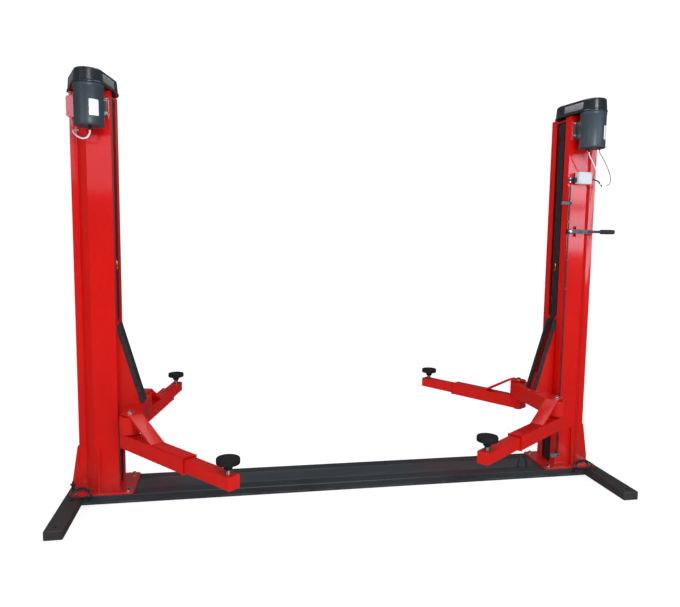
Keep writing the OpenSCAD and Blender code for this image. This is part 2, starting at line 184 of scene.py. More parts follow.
RED = paint("red_enamel", (0.60, 0.0030, 0.0008), (0.67, 0.0042, 0.0011), rough=(0.34, 0.44), coat=1.0, coat_r=0.085, peel=0.26, grime=0.25, spec=0.10, wave=0.62, wscale=78)
RED_ARM = paint("red_enamel_arms", (0.60, 0.0052, 0.0016), (0.67, 0.0072, 0.0024), rough=(0.34, 0.44), coat=0.5, coat_r=0.15, peel=0.22, spec=0.14, wave=0.40, wscale=60)
BLACK = paint("frame_black", (0.016, 0.0175, 0.0185), (0.026, 0.0285, 0.030), rough=(0.34, 0.50), coat=0.12, coat_r=0.25, peel=0.20, grime=0.25, spec=0.4)
# rail_black carries a painted highlight line low on its front face, standing in for the floor's reflection
RAIL = paint("rail_black", (0.019, 0.0222, 0.0248), (0.032, 0.0370, 0.041), rough=(0.34, 0.50), coat=0.12, coat_r=0.25, peel=0.20, painted_floor_glint=True, spec=0.4)


def top_sheet():
    """Satin black sheet with brushed-in streaks along the base, worn by feet."""
    mt, nt, bs, co = new_mat("frame_top_black")
    streak = tex(nt, co, 22, 5, 0.65, stretch=(0.12, 1.0, 1.0))
    big = tex(nt, co, 1.7, 4, 0.6)
    scuff = tex(nt, co, 9, 8, 0.75, stretch=(0.35, 1.2, 1.0), dist=0.6)
    col = ramp(nt, big.outputs["Fac"], [(0.3, (0.030, 0.0345, 0.040)), (0.7, (0.050, 0.0565, 0.065))]).outputs["Color"]
    s = ramp(nt, streak.outputs["Fac"], [(0.35, g(0.82)), (0.7, g(1.16))]).outputs["Color"]
    col = mix(nt, col, s, 1.0, "MULTIPLY")
    sc = ramp(nt, scuff.outputs["Fac"], [(0.60, g(0.0)), (0.78, g(0.4))])
    col = mix(nt, col, (0.11, 0.115, 0.12, 1), sc.outputs["Color"])
    nt.links.new(col, bs.inputs["Base Color"])
    rr = ramp(nt, streak.outputs["Fac"], [(0.3, g(0.30)), (0.75, g(0.48))])
    nt.links.new(rr.outputs["Color"], bs.inputs["Roughness"])
    bs.inputs["Coat Weight"].default_value = 0.2
    bs.inputs["Coat Roughness"].default_value = 0.3
    op = tex(nt, co, 190, 2, 0.5)
    bump(nt, bs, [(op.outputs["Fac"], 0.16, 0.0008), (streak.outputs["Fac"], 0.12, 0.0010)])
    return mt


BASE_TOP = top_sheet()


def rubber(name, c=(0.018, 0.0185, 0.020), dust=0.35, rough=(0.62, 0.82), grain=260):
    mt, nt, bs, co = new_mat(name)
    big = tex(nt, co, 24, 5, 0.65)
    gr = tex(nt, co, grain, 3, 0.6)
    col = ramp(nt, big.outputs["Fac"], [(0.35, c), (0.75, tuple(v * 1.9 for v in c))]).outputs["Color"]
    du = ramp(nt, tex(nt, co, 60, 6, 0.75).outputs["Fac"], [(0.52, g(0)), (0.74, g(dust))])
    col = mix(nt, col, (0.13, 0.125, 0.12, 1), du.outputs["Color"])
    nt.links.new(col, bs.inputs["Base Color"])
    rr = ramp(nt, gr.outputs["Fac"], [(0.3, g(rough[0])), (0.7, g(rough[1]))])
    nt.links.new(rr.outputs["Color"], bs.inputs["Roughness"])
    bs.inputs["Specular IOR Level"].default_value = 0.22
    bump(nt, bs, [(gr.outputs["Fac"], 0.35, 0.0006)])
    return mt


RUBBER = rubber("pad_rubber_mat", c=(0.0080, 0.0083, 0.0087), dust=0.10, rough=(0.70, 0.88))
BELT = rubber("belt_rubber_mat", c=(0.015, 0.0165, 0.020), dust=0.06, rough=(0.40, 0.56), grain=180)
EDGE = rubber("edge_rubber_mat", c=(0.020, 0.021, 0.024), dust=0.15, rough=(0.5, 0.66))
GRIP = rubber("grip_rubber_mat", c=(0.022, 0.023, 0.026), dust=0.08, rough=(0.45, 0.6))


def metal(name, c=(0.62, 0.62, 0.63), rough=(0.22, 0.4), stain=0.3, brush=None, stain_c=(0.30, 0.24, 0.18)):
    mt, nt, bs, co = new_mat(name)
    a = tex(nt, co, 40, 5, 0.7, stretch=brush)
    b = tex(nt, co, 18, 6, 0.7)
    col = ramp(nt, a.outputs["Fac"], [(0.3, tuple(v * 0.8 for v in c)), (0.7, c)]).outputs["Color"]
    st = ramp(nt, b.outputs["Fac"], [(0.52, g(0)), (0.76, g(stain))])
    col = mix(nt, col, (*stain_c, 1), st.outputs["Color"])
    nt.links.new(col, bs.inputs["Base Color"])
    bs.inputs["Metallic"].default_value = 1.0
    rr = ramp(nt, b.outputs["Fac"], [(0.3, g(rough[0])), (0.75, g(rough[1]))])
    nt.links.new(rr.outputs["Color"], bs.inputs["Roughness"])
    bump(nt, bs, [(a.outputs["Fac"], 0.18, 0.0004)])
    return mt


ZINC = metal("zinc_plate", (0.72, 0.73, 0.75), (0.20, 0.36), 0.25)
SCREW = metal("screw_steel_mat", (0.38, 0.37, 0.36), (0.28, 0.45), 0.5, stain_c=(0.10, 0.08, 0.05))
PADSTEEL = metal("pad_steel_mat", (0.50, 0.47, 0.43), (0.30, 0.5), 0.6, stain_c=(0.28, 0.20, 0.14))
BRASS = metal("brass_mat", (0.78, 0.52, 0.16), (0.22, 0.4), 0.3, stain_c=(0.35, 0.20, 0.06))
DARKBOLT = metal("black_oxide", (0.10, 0.10, 0.105), (0.35, 0.5), 0.2)
MOTOR = paint("motor_grey", (0.031, 0.043, 0.054), (0.047, 0.063, 0.077), rough=(0.36, 0.48), coat=0.12, coat_r=0.22, peel=0.34, spec=0.4)
CLAMP = paint("clamp_grey_paint", (0.085, 0.088, 0.098), (0.125, 0.128, 0.142), rough=(0.28, 0.42), coat=0.2, coat_r=0.2, peel=0.2)
LEVER = paint("lever_grey_paint", (0.035, 0.038, 0.044), (0.060, 0.066, 0.076), rough=(0.28, 0.42), coat=0.2, coat_r=0.2, peel=0.2)
ROD = paint("rod_black_paint", (0.018, 0.020, 0.024), (0.032, 0.036, 0.042), rough=(0.32, 0.45), coat=0.15, coat_r=0.3, peel=0.2)


def plastic(name, c1, c2, rough=(0.12, 0.2), grain=320, gs=0.1, coat=0.4):
    mt, nt, bs, co = new_mat(name)
    big = tex(nt, co, 6, 4, 0.6)
    gr = tex(nt, co, grain, 3, 0.6)
    smear = tex(nt, co, 12, 6, 0.7, stretch=(1, 1, 0.4))
    nt.links.new(ramp(nt, big.outputs["Fac"], [(0.3, c1), (0.7, c2)]).outputs["Color"], bs.inputs["Base Color"])
    rr = ramp(nt, smear.outputs["Fac"], [(0.35, g(rough[0])), (0.75, g(rough[1]))])
    nt.links.new(rr.outputs["Color"], bs.inputs["Roughness"])
    bs.inputs["Coat Weight"].default_value = coat
    bs.inputs["Coat Roughness"].default_value = 0.08
    bump(nt, bs, [(gr.outputs["Fac"], gs, 0.0004), (big.outputs["Fac"], 0.08, 0.003)])
    return mt


COVER = plastic("cover_abs", (0.012, 0.014, 0.018), (0.020, 0.0235, 0.029), rough=(0.20, 0.32), coat=0.6)
BOX = plastic("box_abs", (0.58, 0.61, 0.65), (0.66, 0.69, 0.73), rough=(0.38, 0.5), coat=0.05, gs=0.25)
BLKPL = plastic("black_moulding", (0.012, 0.012, 0.014), (0.022, 0.022, 0.025), rough=(0.3, 0.45), coat=0.0, gs=0.3)
LABEL = plastic("blank_label", (0.78, 0.79, 0.80), (0.84, 0.845, 0.85), rough=(0.28, 0.4), coat=0.2, gs=0.05)
FOIL = metal("silver_foil_label", (0.90, 0.91, 0.94), (0.42, 0.54), 0.06)
WHITEPVC = plastic("white_sleeve", (0.74, 0.74, 0.76), (0.82, 0.82, 0.83), rough=(0.35, 0.5), coat=0.0, gs=0.3)
BROWNPVC = plastic("brown_wire", (0.075, 0.050, 0.040), (0.13, 0.09, 0.075), rough=(0.35, 0.5), coat=0.0, gs=0.2)


# ------------------------------------------------------------ mesh helpers
def link(ob, body, mat=None, cad=None):
    if ob.name not in SC.collection.objects:
        SC.collection.objects.link(ob)
    if mat is not None:
        ob.data.materials.clear()
        ob.data.materials.append(mat)
    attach(ob, body)
    if cad:
        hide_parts(*([cad] if isinstance(cad, str) else cad))
    return ob


def finish_mesh(me, ang=35):
    for p in me.polygons:
        p.use_smooth = True
    me.set_sharp_from_angle(angle=math.radians(ang))


def soften(node, body, mat, rule, seg=3, ang=25, name=None, weight_faces=None):
    """A copy of a CAD node with its edges rounded; rule(edge) gives each edge's radius in metres."""
    me = NODES[node].data.copy()
    me.name = (name or node) + "_mesh"
    bm = bmesh.new()
    bm.from_mesh(me)
    bmesh.ops.remove_doubles(bm, verts=bm.verts, dist=2e-6)
    bmesh.ops.dissolve_limit(bm, angle_limit=math.radians(0.6), use_dissolve_boundaries=False, verts=bm.verts, edges=bm.edges, delimit=set())
    # big flat faces with cut-outs in them go back to triangles, so that the rounding can't fold them over
    big = [f for f in bm.faces if len(f.verts) > 14]
    if big:
        bmesh.ops.triangulate(bm, faces=big, quad_method="BEAUTY", ngon_method="BEAUTY")
    lay = bm.edges.layers.float.new("bevel_weight_edge")
    ws = []
    for e in bm.edges:
        w = 0.0
        if len(e.link_faces) == 2 and e.calc_face_angle(0) > math.radians(ang):
            w = rule(e)
        ws.append((e, w))
    wm = max([w for _, w in ws] + [1e-6])
    for e, w in ws:
        e[lay] = w / wm
    bm.to_mesh(me)
    bm.free()
    finish_mesh(me, 30)
    ob = bpy.data.objects.new(name or (node + "_form"), me)
    SC.collection.objects.link(ob)
    b = ob.modifiers.new("edges", "BEVEL")
    b.limit_method = "WEIGHT"
    b.width = wm
    b.segments = seg
    b.use_clamp_overlap = True
    b.harden_normals = True
    b.miter_outer = "MITER_SHARP"
    settle(ob, NODES[node].data)
    link(ob, body, mat, node)
    return ob


def settle(ob, src):
    """Applies the rounding, and turns the few slivers that it folds over on flat faces back the right way."""
    tree = BVHTree.FromPolygons([v.co for v in src.vertices], [list(p.vertices) for p in src.polygons])
    ev = ob.evaluated_get(bpy.context.evaluated_depsgraph_get())
    me = ev.to_mesh()
    me.calc_loop_triangles()
    vs = [v.co.copy() for v in me.vertices]
    cn = [c.vector.copy() for c in me.corner_normals]
    tris, nor = [], []
    for t in me.loop_triangles:
        if t.area < 1e-12:
            continue
        a, l = list(t.vertices), list(t.loops)
        c = (vs[a[0]] + vs[a[1]] + vs[a[2]]) / 3
        loc, m, idx, d = tree.find_nearest(c)
        gn = t.normal.copy()
        if m is not None and d < 3e-5 and m.dot(gn) < -0.5:
            a.reverse()
            l.reverse()
            gn.negate()
        nor += [cn[i] if cn[i].dot(gn) > 0.25 else gn for i in l]
        tris.append(a)
    ev.to_mesh_clear()
    new = bpy.data.meshes.new(ob.name + "_mesh")
    new.from_pydata(vs, [], tris)
    new.polygons.foreach_set("use_smooth", [True] * len(new.polygons))
    new.normals_split_custom_set(nor)
    new.update()
    ob.modifiers.clear()
    ob.data = new


def elen(e):
    return (e.verts[0].co - e.verts[1].co).length


def edir(e):
    d = e.verts[1].co - e.verts[0].co
    return Vector((abs(d.x), abs(d.y), abs(d.z))) / max(d.length, 1e-9)


def convex(e):
    return e.is_convex


def obj_from(name, verts, faces, mat_ang=35):
    me = bpy.data.meshes.new(name + "_mesh")
    me.from_pydata([tuple(v) for v in verts], [], faces)
    me.validate()
    me.update()
    bm = bmesh.new()
    bm.from_mesh(me)
    bmesh.ops.recalc_face_normals(bm, faces=bm.faces)
    bm.to_mesh(me)
    bm.free()
    finish_mesh(me, mat_ang)
    return bpy.data.objects.new(name, me)


class Builder:
    """Collects closed solids into one mesh."""

    def __init__(self):
        self.v, self.f = [], []

    def add(self, verts, faces, mtx=None):
        o = len(self.v)
        self.v += [(mtx @ Vector(p)) if mtx else Vector(p) for p in verts]
        self.f += [[i + o for i in f] for f in faces]

    def lathe(self, prof, n=48, mtx=None, phase=0.0):
        """prof: list of (r, z) from bottom axis to top axis; r may be 0 at the ends."""
        v, f, rows = [], [], []
        for r, z in prof:
            if r < 1e-7:
                rows.append([len(v)])
                v.append((0, 0, z))
            else:
                rows.append(list(range(len(v), len(v) + n)))
                v += [(r * math.cos(phase + 2 * math.pi * i / n), r * math.sin(phase + 2 * math.pi * i / n), z) for i in range(n)]
        for a, b in zip(rows, rows[1:]):
            for i in range(n):
                j = (i + 1) % n
                if len(a) == 1 and len(b) == 1:
                    continue
                if len(a) == 1:
                    f.append([a[0], b[j], b[i]])
                elif len(b) == 1:
                    f.append([a[i], a[j], b[0]])
                else:
                    f.append([a[i], a[j], b[j], b[i]])
        if len(rows[0]) > 1:
            f.append(list(reversed(rows[0])))
        if len(rows[-1]) > 1:
            f.append(rows[-1])
        self.add(v, f, mtx)

    def rbox(self, lo, hi, r=0.002, mtx=None, seg=3):
        """A box with rounded edges."""
        bm = bmesh.new()
        bmesh.ops.create_cube(bm, size=1.0)
        s = [hi[i] - lo[i] for i in range(3)]
        c = [(hi[i] + lo[i]) / 2 for i in range(3)]
        for v in bm.verts:
            v.co = Vector((v.co.x * s[0] + c[0], v.co.y * s[1] + c[1], v.co.z * s[2] + c[2]))
        if r > 0:
            bmesh.ops.bevel(bm, geom=list(bm.edges), offset=min(r, 0.49 * min(s)), segments=seg, profile=0.5, affect="EDGES")
        bm.verts.ensure_lookup_table()
        bm.verts.index_update()
        self.add([v.co.copy() for v in bm.verts], [[v.index for v in f.verts] for f in bm.faces], mtx)
        bm.free()

    def sweep(self, pts, rads, n=8, closed=False, flat=1.0):
        """A tube along pts with a radius for each point."""
        v, f = [], []
        N = len(pts)
        pts = [Vector(p) for p in pts]
        prev = None
        for i, p in enumerate(pts):
            if closed:
                t = (pts[(i + 1) % N] - pts[(i - 1) % N]).normalized()
            else:
                t = (pts[min(i + 1, N - 1)] - pts[max(i - 1, 0)]).normalized()
            if prev is None:
                a = Vector((0, 0, 1)) if abs(t.z) < 0.9 else Vector((1, 0, 0))
                u = (a - t * a.dot(t)).normalized()
            else:
                u = (prev - t * prev.dot(t)).normalized()
            prev = u
            w = t.cross(u)
            r = rads[i] if isinstance(rads, (list, tuple)) else rads
            for k in range(n):
                an = 2 * math.pi * k / n
                v.append(p + u * (r * math.cos(an)) + w * (r * flat * math.sin(an)))
        for i in range(N if closed else N - 1):
            for k in range(n):
                a, b = i * n + k, i * n + (k + 1) % n
                c, d = ((i + 1) % N) * n + (k + 1) % n, ((i + 1) % N) * n + k
                f.append([a, b, c, d])
        if not closed:
            f.append(list(reversed(range(n))))
            f.append(list(range((N - 1) * n, N * n)))
        self.add(v, f)

    def weld(self, a, b, r=0.0035, step=0.0022, sub=None, seed=0):
        """A fillet weld bead with ripples, from a to b (or through a list of points)."""
        pts = [Vector(p) for p in (a if b is None else [a, b])]
        out = []
        for p, q in zip(pts, pts[1:]):
            L = (q - p).length
            k = max(2, int(L / step))
            out += [p.lerp(q, i / k) for i in range(k)]
        out.append(pts[-1])
        rads = []
        for i, p in enumerate(out):
            w = 1.0 + 0.10 * math.sin(i * 1.25 + seed) + 0.14 * noise.noise(p * 70 + Vector((seed, 0, 0)))
            if i < 2 or i > len(out) - 3:
                w *= 0.6
            rads.append(r * w)
        self.sweep(out, rads, 7)

    def bolt(self, pos, axis, af=0.019, head=0.010, washer=0.013, wt=0.0025, hexagon=True, spin=0.2):
        """Hex bolt head with chamfer on a washer; pos lies on the surface."""
        z = Vector(axis).normalized()
        x = z.orthogonal().normalized()
        y = z.cross(x)
        mt = Matrix((x, y, z)).transposed().to_4x4()
        mt.translation = Vector(pos)
        self.lathe([(0, -0.0004), (washer - 0.0006, -0.0004), (washer, 0.0002), (washer, wt - 0.0005), (washer - 0.0005, wt), (0, wt)], 28, mt)
        R = af / 2 / math.cos(math.pi / 6)
        v, f = [], []
        for zz, rr in ((wt, R), (wt + head - 0.0018, R), (wt + head, R * 0.84)):
            v += [(rr * math.cos(spin + k * math.pi / 3), rr * math.sin(spin + k * math.pi / 3), zz) for k in range(6)]
        for lv in range(2):
            for k in range(6):
                a, b = lv * 6 + k, lv * 6 + (k + 1) % 6
                f.append([a, b, b + 6, a + 6])
        f.append(list(range(12, 18)))
        f.append([5, 4, 3, 2, 1, 0])
        self.add(v, f, mt)

    def dome(self, pos, axis, r=0.006, h=0.004):
        z = Vector(axis).normalized()
        x = z.orthogonal().normalized()
        mt = Matrix((x, z.cross(x), z)).transposed().to_4x4()
        mt.translation = Vector(pos)
        pr = [(0, -0.0004), (r, -0.0004), (r, h * 0.3)] + [(r * math.cos(t * math.pi / 2 / 5), h * (0.3 + 0.7 * math.sin(t * math.pi / 2 / 5))) for t in range(1, 5)] + [(0, h)]
        self.lathe(pr, 24, mt)

    def make(self, name, body, mat, cad=None, ang=35):
        ob = obj_from(name, self.v, self.f, ang)
        return link(ob, body, mat, cad)


def mx(s, p):
    return (s * p[0], p[1], p[2])


# ------------------------------------------------------------- floor frame
def long_rule(axis, r_long, r_short, rmin_len=0.3, inner=None):
    def rule(e):
        d = edir(e)
        if d[axis] > 0.999 and elen(e) > rmin_len:
            return r_long if convex(e) else (inner if inner is not None else 0.0)
        return r_short
    return rule


soften("base_rails", "root", RAIL, long_rule(0, 0.007, 0.0, inner=0.003), seg=4)
soften("base_cover_plate", "root", BASE_TOP, lambda e: 0.0012, seg=2)
NODES["base_cross_ties"].data.materials.clear()
NODES["base_cross_ties"].data.materials.append(BLACK)


def foot_rule(e):
    d = edir(e)
    L = elen(e)
    if L < 0.03:
        return 0.0
    if d.z > 0.99 and L > 0.05:
        return 0.007
    if (d.x > 0.99 or d.y > 0.99) and convex(e) and L > 0.09:
        return 0.007
    return 0.0


for s in ("left", "right"):
    soften(s + "_foot", "root", BLACK, foot_rule, seg=4)
    soften(s + "_base_plate", "root", RED, lambda e: 0.0018, seg=3, ang=40)


# ----------------------------------------------------------------- columns
def col_rule(e):
    d = edir(e)
    L = elen(e)
    c = (e.verts[0].co + e.verts[1].co) / 2
    if d.z > 0.999 and L > 1.0:
        ax, ay = abs(c.x), abs(c.y)
        if ax < 1.4505 and ay > 0.115:
            return 0.0085
        if ax < 1.457 and ay < 0.060:
            return 0.0015
        if convex(e):
            return 0.008
        return 0.0035
    return 0.0010


for s in ("left", "right"):
    soften(s + "_column", "root", RED, col_rule, seg=4, ang=20)

for n in ("lift_screws",):
    NODES[n].data.materials.clear()
    NODES[n].data.materials.append(SCREW)
NODES["slot_belts"].data.materials.clear()
NODES["slot_belts"].data.materials.append(BELT)

PZ = 0.067
wb = Builder()
for sx in (-1, 1):
    # round the foot of each column
    loop = [(1.452, -0.122), (1.5875, -0.122), (1.6495, -0.060), (1.691, -0.060)]
    for yy in (1, -1):
        P = [mx(sx, (x, yy * y, PZ + 0.0015)) for x, y in loop]
        wb.weld(P, None, 0.0085, seed=sx + yy)
    wb.weld(mx(sx, (1.4495, -0.116, PZ + 0.0015)), mx(sx, (1.4495, -0.056, PZ + 0.0015)), 0.004, seed=3)
    wb.weld(mx(sx, (1.4495, 0.116, PZ + 0.0015)), mx(sx, (1.4495, 0.056, PZ + 0.0015)), 0.004, seed=5)
    for yy in (1, -1):
        for xo in (1.5575, 1.5665):
            wb.weld(mx(sx, (xo, yy * 0.1205, PZ + 0.02)), mx(sx, (xo, yy * 0.1205, 0.325)), 0.0028, seed=xo)
            wb.weld(mx(sx, (xo, yy * 0.124, PZ + 0.001)), mx(sx, (xo, yy * 0.158, PZ + 0.001)), 0.003, seed=xo)
        for yo in (0.0435, 0.0525):
            wb.weld(mx(sx, (1.6905, yy * yo, PZ + 0.02)), mx(sx, (1.6905, yy * yo, 0.33)), 0.0028, seed=yo)
            wb.weld(mx(sx, (1.694, yy * yo, PZ + 0.001)), mx(sx, (1.735, yy * yo, PZ + 0.001)), 0.003, seed=yo)
wb.make("column_welds", "root", RED)


# ------------------------------------------------------------ drive heads
def plain_rule(r):
    return lambda e: r


MX, MY = 1.545, -0.225
for s, sx in (("left", -1), ("right", 1)):
    b = Builder()
    mt = Matrix.Translation((sx * MX, MY, 0))
    b.lathe([(0, 2.2262), (0.010, 2.2262), (0.0115, 2.2272), (0.0115, 2.2290), (0.030, 2.2300), (0.062, 2.2300), (0.071, 2.2268), (0.0775, 2.2252), (0.0808, 2.2262), (0.0822, 2.2285),
             (0.0824, 2.2335), (0.0816, 2.2352), (0.0802, 2.2360), (0.0800, 2.2380), (0.0800, 2.4340), (0.0806, 2.4352), (0.0814, 2.4360), (0.0815, 2.4525), (0.0808, 2.4538), (0, 2.4538)], 72, mt)
    # cooling slots under the fan cowl
    for k in range(12):
        a = k * math.pi / 6
        m4 = mt @ Matrix.Rotation(a, 4, "Z")
        b.rbox((0.034, -0.003, 2.2282), (0.060, 0.003, 2.2303), 0.0009, m4, 2)
    # feet
    for x in (-0.064, 0.044):
        b.rbox((x, 0.0, 2.294), (x + 0.020, 0.0968, 2.406), 0.004, mt)
    for x0, x1 in ((-0.083, -0.038), (0.038, 0.083)):
        b.rbox((x0, 0.0865, 2.296), (x1, 0.0968, 2.404), 0.003, mt)
    b.make(s + "_motor_body", "root", MOTOR, s + "_motor", ang=30)
    bb = Builder()
    for z in (2.316, 2.394):
        for x in (-0.073, 0.073):
            bb.bolt((sx * MX + x, MY + 0.0866, z), (0, -1, 0), 0.015, 0.0075, 0.0115, 0.002)
    bb.make(s + "_motor_bolts", "root", ZINC)

soften("motor_mounts", "root", RED, plain_rule(0.0015), seg=2)


def patch_on_cylinder(name, cx, cy, r, a0, a1, z0, z1, mat, cr=0.006, th=0.0004):
    """A thin label with round corners, laid on a cylinder."""
    n, V, F = 28, [], []
    w = r * math.radians(a1 - a0)
    for i in range(n + 1):
        s = w * i / n
        d = min(s, w - s)
        inset = cr - math.sqrt(max(0.0, cr * cr - (cr - d) ** 2)) if d < cr else 0.0
        a = math.radians(a0) + s / r
        for rr in (r - 0.0006, r + th):
            V.append((cx + rr * math.cos(a), cy + rr * math.sin(a), z0 + inset))
            V.append((cx + rr * math.cos(a), cy + rr * math.sin(a), z1 - inset))
    for i in range(n):
        o, q = i * 4, i * 4 + 4
        F += [[o + 2, q + 2, q + 3, o + 3], [o, o + 1, q + 1, q], [o, q, q + 2, o + 2], [o + 1, o + 3, q + 3, q + 1]]
    F += [[0, 2, 3, 1], [n * 4, n * 4 + 1, n * 4 + 3, n * 4 + 2]]
    ob = obj_from(name, V, F, 30)
    link(ob, "root", mat)


patch_on_cylinder("left_motor_label", -MX, MY, 0.0800, -78, -40, 2.275, 2.362, LABEL)
patch_on_cylinder("right_motor_label", MX, MY, 0.0800, -66, -28, 2.275, 2.362, LABEL)


def cover_form(s, sx):
    """Moulded cover: the outline of two lobes, drafted, with a lip below and a round top edge."""
    cx1, cy1, cx2, cy2 = MX, MY, 1.566, 0.0
    dx, dy = cx1 - cx2, cy1 - cy2
    D = math.hypot(dx, dy)
    base = math.atan2(dy, dx)

    def outline(R1, R2, n1=34, n2=46):
        # R1 motor lobe, R2 column lobe
        phi = math.acos((R2 - R1) / D)
        pts = []
        for i in range(n1 + 1):
            a = base - phi + 2 * phi * i / n1
            pts.append((cx1 + R1 * math.cos(a), cy1 + R1 * math.sin(a)))
        for i in range(n2 + 1):
            a = base + phi + (2 * math.pi - 2 * phi) * i / n2
            pts.append((cx2 + R2 * math.cos(a), cy2 + R2 * math.sin(a)))
        return pts

    lv = [(2.4515, 0.0), (2.4512, 0.0012), (2.4525, 0.0024), (2.4580, 0.0024), (2.4592, 0.0012), (2.4597, -0.0012), (2.4610, -0.0020)]
    H0, H1 = 2.4610, 2.5235
    for i in range(1, 9):
        t = i / 8
        lv.append((H0 + (H1 - H0) * t, -0.0020 - 0.0050 * t))
    for i in range(1, 9):
        a = i * math.pi / 2 / 8
        lv.append((H1 + 0.0110 * math.sin(a), -0.0070 - 0.0110 * (1 - math.cos(a))))
    lv.append((2.5346, -0.0250))
    lv.append((2.5349, -0.0420))
    V, F = [], []
    rows = []
    for z, o in lv:
        pts = outline(0.0820 + o, 0.1415 + o)
        rows.append(list(range(len(V), len(V) + len(pts))))
        for x, y in pts:
            y2 = min(y, 0.1165)
            zz = z + (0.004 if (y < -0.128 and z < 2.453) else 0.0)
            V.append((sx * x, y2, max(zz, 2.4545) if y < -0.128 else zz))
    n = len(rows[0])
    for a, b in zip(rows, rows[1:]):
        for i in range(n):
            j = (i + 1) % n
            F.append([a[i], a[j], b[j], b[i]])
    F.append(rows[-1])
    F.append(list(reversed(rows[0])))
    ob = obj_from(s + "_cover_form", V, F, 40)
    link(ob, "root", COVER, s + "_top_cover")

    # plain silver plates on both flanks
    V, F = [], []
    NS, NZ = 16, 6
    for fl in (0, 1):
        base_i = len(V)
        for iz in range(NZ + 1):
            z = 2.467 + (2.521 - 2.467) * iz / NZ
            o = -0.0020 - 0.0050 * (z - H0) / (H1 - H0)
            R1, R2 = 0.0820 + o, 0.1415 + o
            phi = math.acos((R2 - R1) / D)
            a = base + phi if fl else base - phi
            q1 = Vector((cx1 + R1 * math.cos(a), cy1 + R1 * math.sin(a), z))
            q2 = Vector((cx2 + R2 * math.cos(a), cy2 + R2 * math.sin(a), z))
            nrm = Vector((math.cos(a), math.sin(a), 0.15)).normalized()
            dz = min(iz, NZ - iz)
            for i in range(NS + 1):
                f = 0.02 + 0.86 * i / NS
                p = q1.lerp(q2, f)
                edge = (i in (0, NS)) or dz == 0
                p = p + nrm * (-0.0010 if edge else 0.0007)
                V.append((sx * p.x, p.y, p.z))
        W = NS + 1
        for iz in range(NZ):
            for i in range(NS):
                a0 = base_i + iz * W + i
                F.append([a0, a0 + 1, a0 + 1 + W, a0 + W])
    pl = obj_from(s + "_cover_plates", V, F, 40)
    link(pl, "root", FOIL)


for s, sx in (("left", -1), ("right", 1)):
    cover_form(s, sx)

# ------------------------------------------------------------ release gear
FR = -0.120
b = Builder()
b.rbox((1.494, FR - 0.062, 2.004), (1.586, FR - 0.0085, 2.080), 0.0035)
b.rbox((1.500, FR - 0.0090, 2.010), (1.580, FR - 0.0005, 2.074), 0.001)
b.make("grey_box", "root", BOX, "junction_box")
b = Builder()
for x in (1.502, 1.578):
    for z in (2.012, 2.072):
        b.dome((x, FR - 0.0618, z), (0, -1, 0), 0.0035, 0.0015)
b.make("grey_box_screws", "root", ZINC)
soften("rod_guides", "root", RED, plain_rule(0.0012), seg=2)
RX = 1.462
b = Builder()
b.lathe([(0, 0.124), (0.0040, 0.124), (0.0045, 0.1246), (0.0045, 1.9914), (0.0040, 1.9920), (0, 1.9920)], 24, Matrix.Translation((RX, FR - 0.012, 0)))
b.rbox((RX - 0.011, FR - 0.027, 1.6944), (RX + 0.013, FR - 0.004, 1.7060), 0.0012)
b.rbox((RX - 0.011, FR - 0.027, 1.6740), (RX + 0.013, FR - 0.004, 1.6856), 0.0012)
b.rbox((RX - 0.011, FR - 0.018, 1.6745), (RX + 0.013, FR - 0.004, 1.7055), 0.0012)
for z in (0.1565, 0.2815):
    b.lathe([(0, z), (0.0082, z), (0.0085, z + 0.0004), (0.0085, z + 0.0028), (0.0082, z + 0.0032), (0, z + 0.0032)], 24, Matrix.Translation((RX, FR - 0.012, 0)))
turns, per = 14, 14
coil = [(RX + 0.0070 * math.cos(2 * math.pi * i / per), FR - 0.012 + 0.0070 * math.sin(2 * math.pi * i / per), 0.1605 + 0.120 * i / (turns * per)) for i in range(turns * per + 1)]
b.sweep(coil, 0.00135, 6)
b.make("release_rod_form", "release_rod", ROD, "release_rod")
b = Builder()
for x0, z0, z1 in ((1.402, 1.866, 1.888), (1.411, 0.130, 0.156)):
    b.rbox((x0, FR - 0.024, z0), (1.474, FR - 0.003, z1), 0.004)
b.make("release_fingers", "release_rod", CLAMP)
b = Builder()
for z in (1.877, 0.143):
    b.bolt((RX + 0.0003, FR - 0.0236, z), (0, -1, 0), 0.010, 0.004, 0.0062, 0.001)
b.make("release_finger_screws", "release_rod", DARKBOLT)
soften("release_lever", "release_lever", LEVER, plain_rule(0.0012), seg=2)
b = Builder()
b.rbox((1.451, FR - 0.0058, 2.008), (1.498, FR, 2.050), 0.0015)
b.rbox((1.4822, FR - 0.034, 2.016), (1.4938, FR - 0.005, 2.044), 0.0012)
b.make("box_bracket_form", "root", ROD, "box_bracket")
b = Builder()
for z in (2.017, 2.041):
    b.bolt((1.460, FR - 0.0056, z), (0, -1, 0), 0.0095, 0.0052, 0.0064, 0.0015)
b.make("box_bracket_bolts", "root", ZINC)
b = Builder()
b.bolt((1.462, FR - 0.0378, 1.690), (0, -1, 0), 0.0145, 0.0066, 0.0098, 0.0015)
b.make("lever_bolt", "release_lever", ZINC)
b = Builder()
b.dome((1.537, FR - 0.0429, 1.690), (0, -1, 0), 0.0045, 0.0012)
b.make("lever_pivot_dab", "release_lever", RED)
b = Builder()
pr = [(0, 0)]
for i in range(61):
    t = i / 60
    r = 0.0148 + 0.0010 * math.sin(t * math.pi)
    if 0.12 < t < 0.88:
        r -= 0.0007 * (0.5 + 0.5 * math.cos(t * 2 * math.pi * 14))
    if t < 0.04:
        r *= 0.86 + 3.5 * t
    if t > 0.95:
        r *= math.sqrt(max(0.06, 1 - ((t - 0.95) / 0.052) ** 2))
    pr.append((r, 0.1038 * t + 0.0001))
pr.append((0, 0.1039))
b.lathe(pr, 40, Matrix.Translation((1.684, FR - 0.035, 1.690)) @ Matrix.Rotation(math.pi / 2, 4, "Y"))
b.make("lever_handle", "release_lever", GRIP, "lever_grip")


